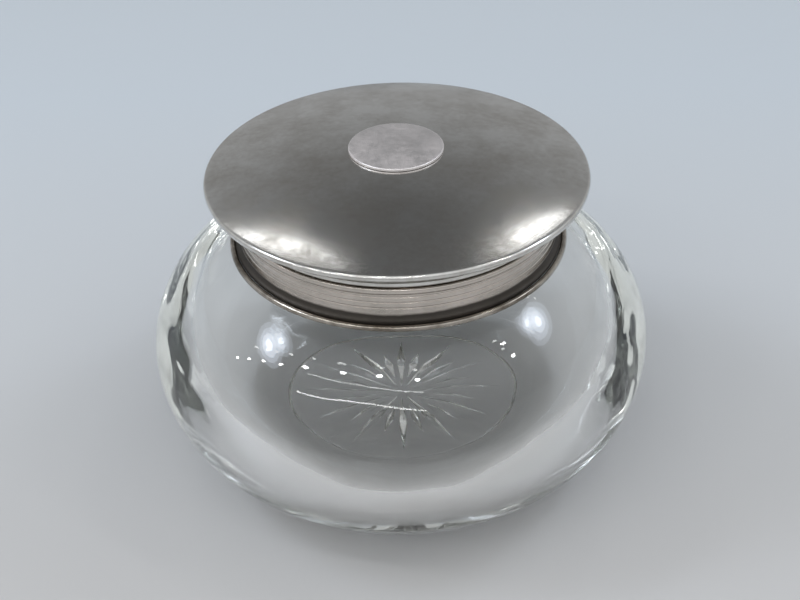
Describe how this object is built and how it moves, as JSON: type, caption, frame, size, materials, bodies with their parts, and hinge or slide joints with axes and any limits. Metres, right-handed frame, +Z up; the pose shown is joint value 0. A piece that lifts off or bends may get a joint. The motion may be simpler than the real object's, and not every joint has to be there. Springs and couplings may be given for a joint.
{
  "type": "ink bottle",
  "caption": "Squat globular clear glass inkwell with a silver collar and an overhanging domed silver lid hinged at the back.",
  "frame": {"origin": "middle of the base, on the surface that the bottle stands on", "axes": "+Z up through the mouth; -Y is the front; the hinge is at +Y and its pin runs along X"},
  "size_m": [0.101, 0.101, 0.0687],
  "materials": {
    "glass": "polished",
    "silver": "polished",
    "silver_bright": "polished",
    "silver_satin": "satin",
    "plaster": "matte"
  },
  "bodies": {
    "bottle": {"glass_body": "glass", "neck_plaster": "plaster", "collar_band": "silver", "collar_foot_wire": "silver_bright", "collar_bezel": "silver_satin", "collar_hinge_bearer": "silver_satin", "collar_knuckle_1": "silver_satin", "collar_knuckle_2": "silver_satin", "collar_knuckle_3": "silver_satin", "hinge_pin": "silver_satin"},
    "lid": {"lid_dome": "silver", "lid_rim": "silver", "lid_plaque": "silver_bright", "lid_hinge_bearer": "silver_satin", "lid_knuckle_1": "silver_satin", "lid_knuckle_2": "silver_satin"}
  },
  "joints": [
    {"name": "lid_hinge", "type": "hinge", "parent": "bottle", "child": "lid", "pos_m": [0, 0.0339, 0.05742], "axis": [-1, 0, 0], "range_deg": [0, 110]}
  ]
}
